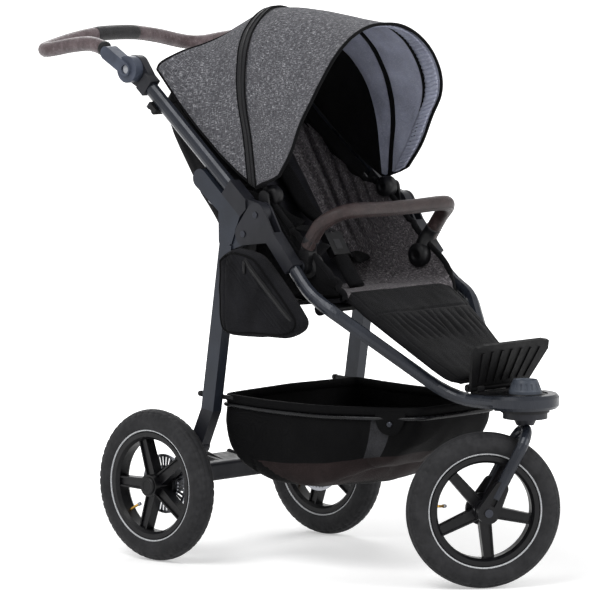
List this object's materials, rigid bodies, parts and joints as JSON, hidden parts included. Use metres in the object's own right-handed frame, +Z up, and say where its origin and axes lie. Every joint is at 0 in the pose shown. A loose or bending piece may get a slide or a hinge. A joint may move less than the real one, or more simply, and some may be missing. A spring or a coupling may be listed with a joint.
{
  "type": "baby stroller",
  "caption": "Folding pushchair with air tyres, swivelling front wheel, tilting push bar, opening canopy, reclining seat, bumper bar, footplate and basket.",
  "frame": {"origin": "ground level, in the middle of the stroller's length and width", "axes": "+Z up, the stroller faces -Y, the child's right hand is on the -X side"},
  "size_m": [0.546, 1.1944, 1.095],
  "materials": {
    "frame_paint": "satin anthracite paint",
    "casting": "fine-textured dark grey",
    "black_plastic": "fine-textured black",
    "grey_plastic": "smooth grey",
    "light_plastic": "smooth light grey",
    "steel": "bright",
    "tyre_rubber": "matt black with tread",
    "leather_taupe": "fine grain, stitched",
    "leather_brown": "fine grain, stitched",
    "melange_fabric": "grey melange canvas",
    "seat_fabric": "dark grey melange, quilted",
    "black_fabric": "plain black canvas",
    "webbing": "woven strap"
  },
  "bodies": {
    "chassis": {"front_tubes": "frame_paint", "front_hoop": "frame_paint", "front_housing": "casting", "fold_brackets": "casting", "fold_pins": "steel", "cross_tubes": "frame_paint", "seat_pan": "black_plastic", "seat_pad": "seat_fabric", "seat_sides": "black_fabric", "crotch_strap": "webbing", "buckle": "black_plastic", "basket": "black_fabric", "basket_rails": "black_plastic", "side_pockets": "black_fabric", "canopy_mounts": "black_plastic", "canopy_rear": "melange_fabric", "footrest_bracket": "black_plastic"},
    "buckle_button": {"buckle_button": "black_plastic"},
    "swivel_knob": {"swivel_knob": "grey_plastic"},
    "footplate": {"footplate": "black_plastic"},
    "calf_rest": {"calf_rest": "black_fabric"},
    "fork": {"fork_crown": "black_plastic", "fork_tube": "frame_paint", "fork_ends": "black_plastic", "front_axle": "steel"},
    "front_wheel": {"front_tyre": "tyre_rubber", "front_rim": "black_plastic", "front_cap": "black_plastic"},
    "rear_frame": {"rear_legs": "frame_paint", "rear_brackets": "black_plastic", "rear_beam": "frame_paint", "rear_axles": "steel"},
    "rear_wheel_right": {"rear_tyre_right": "tyre_rubber", "rear_rim_right": "black_plastic", "brake_ring_right": "steel", "rear_cap_right": "black_plastic"},
    "rear_wheel_left": {"rear_tyre_left": "tyre_rubber", "rear_rim_left": "black_plastic", "brake_ring_left": "steel", "rear_cap_left": "black_plastic"},
    "brake_pedal": {"brake_pedal": "black_plastic"},
    "brake_pin_right": {"brake_pin_right": "steel"},
    "brake_pin_left": {"brake_pin_left": "steel"},
    "lock_buttons": {"lock_buttons": "light_plastic"},
    "push_frame": {"push_tubes": "frame_paint", "push_sockets": "casting", "handle_bases": "casting"},
    "fold_slider_right": {"fold_slider_right": "black_plastic"},
    "fold_slider_left": {"fold_slider_left": "black_plastic"},
    "handle": {"handle_discs": "casting", "handle_grip": "leather_taupe"},
    "handle_button_right": {"handle_button_right": "light_plastic"},
    "handle_button_left": {"handle_button_left": "light_plastic"},
    "bumper_bar": {"bumper_grip": "leather_brown", "bumper_joints": "black_plastic"},
    "backrest": {"backrest": "black_fabric", "backrest_pad": "seat_fabric", "harness": "webbing"},
    "canopy_front": {"canopy_front": "melange_fabric", "canopy_bow": "black_fabric"}
  },
  "joints": [
    {"name": "main_fold", "type": "hinge", "parent": "chassis", "child": "push_frame", "pos_m": [0, -0.02719, 0.702], "axis": [1, 0, 0], "range_deg": [0, 150]},
    {"name": "rear_fold", "type": "hinge", "parent": "chassis", "child": "rear_frame", "pos_m": [0, 0.00581, 0.663], "axis": [1, 0, 0], "range_deg": [-45, 0]},
    {"name": "handle_tilt", "type": "hinge", "parent": "push_frame", "child": "handle", "pos_m": [0, 0.31669, 0.97358], "axis": [1, 0, 0], "range_deg": [-50, 50]},
    {"name": "handle_press_right", "type": "slide", "parent": "handle", "child": "handle_button_right", "axis": [1, 0, 0], "range_m": [0, 0.003], "stiffness_N_per_m": 400, "springref_m": -0.001},
    {"name": "handle_press_left", "type": "slide", "parent": "handle", "child": "handle_button_left", "axis": [-1, 0, 0], "range_m": [0, 0.003], "stiffness_N_per_m": 400, "springref_m": -0.001},
    {"name": "fold_slide_right", "type": "slide", "parent": "push_frame", "child": "fold_slider_right", "axis": [0, 0.766, 0.6428], "range_m": [0, 0.012], "stiffness_N_per_m": 300, "springref_m": -0.002},
    {"name": "fold_slide_left", "type": "slide", "parent": "push_frame", "child": "fold_slider_left", "axis": [0, 0.766, 0.6428], "range_m": [0, 0.012], "stiffness_N_per_m": 300, "springref_m": -0.002},
    {"name": "lock_press", "type": "slide", "parent": "rear_frame", "child": "lock_buttons", "axis": [0, -0.6428, 0.766], "range_m": [0, 0.003], "stiffness_N_per_m": 400, "springref_m": -0.001},
    {"name": "canopy_fold", "type": "hinge", "parent": "chassis", "child": "canopy_front", "pos_m": [0, -0.02219, 0.736], "axis": [1, 0, 0], "range_deg": [-26, 0]},
    {"name": "bumper_tilt", "type": "hinge", "parent": "chassis", "child": "bumper_bar", "pos_m": [0, -0.12019, 0.605], "axis": [1, 0, 0], "range_deg": [-30, 40]},
    {"name": "recline", "type": "hinge", "parent": "chassis", "child": "backrest", "pos_m": [0, 0.03481, 0.524], "axis": [1, 0, 0], "range_deg": [-22, 10]},
    {"name": "calf_tilt", "type": "hinge", "parent": "chassis", "child": "calf_rest", "pos_m": [0, -0.20719, 0.54], "axis": [1, 0, 0], "range_deg": [-33, 0]},
    {"name": "footplate_tilt", "type": "hinge", "parent": "chassis", "child": "footplate", "pos_m": [0, -0.45819, 0.385], "axis": [1, 0, 0], "range_deg": [-15, 25]},
    {"name": "knob_turn", "type": "hinge", "parent": "chassis", "child": "swivel_knob", "pos_m": [0, -0.53519, 0.39], "axis": [0, 0, 1], "range_deg": [0, 90]},
    {"name": "front_swivel", "type": "hinge", "parent": "chassis", "child": "fork", "pos_m": [0, -0.53519, 0.33], "axis": [0, 0, 1], "continuous": true},
    {"name": "front_wheel_spin", "type": "hinge", "parent": "fork", "child": "front_wheel", "pos_m": [-0.06634, -0.48699, 0.1515], "axis": [-0.5878, -0.809, 0], "continuous": true},
    {"name": "rear_spin_right", "type": "hinge", "parent": "rear_frame", "child": "rear_wheel_right", "pos_m": [-0.245, 0.22181, 0.1515], "axis": [1, 0, 0], "continuous": true},
    {"name": "rear_spin_left", "type": "hinge", "parent": "rear_frame", "child": "rear_wheel_left", "pos_m": [0.245, 0.22181, 0.1515], "axis": [1, 0, 0], "continuous": true},
    {"name": "brake_press", "type": "hinge", "parent": "rear_frame", "child": "brake_pedal", "pos_m": [0, 0.24581, 0.1715], "axis": [1, 0, 0], "range_deg": [-20, 0]},
    {"name": "brake_slide_right", "type": "slide", "parent": "rear_frame", "child": "brake_pin_right", "axis": [-1, 0, 0], "range_m": [0, 0.007]},
    {"name": "brake_slide_left", "type": "slide", "parent": "rear_frame", "child": "brake_pin_left", "axis": [1, 0, 0], "range_m": [0, 0.007]},
    {"name": "buckle_press", "type": "slide", "parent": "chassis", "child": "buckle_button", "axis": [0, 0.8387, -0.5446], "range_m": [0, 0.002], "stiffness_N_per_m": 300, "springref_m": -0.001}
  ],
  "couplings": [
    {"joint": "rear_fold", "follows": "main_fold", "ratio": -0.3},
    {"joint": "brake_slide_right", "follows": "brake_press", "m_per_rad": -0.020054},
    {"joint": "brake_slide_left", "follows": "brake_press", "m_per_rad": -0.020054}
  ]
}
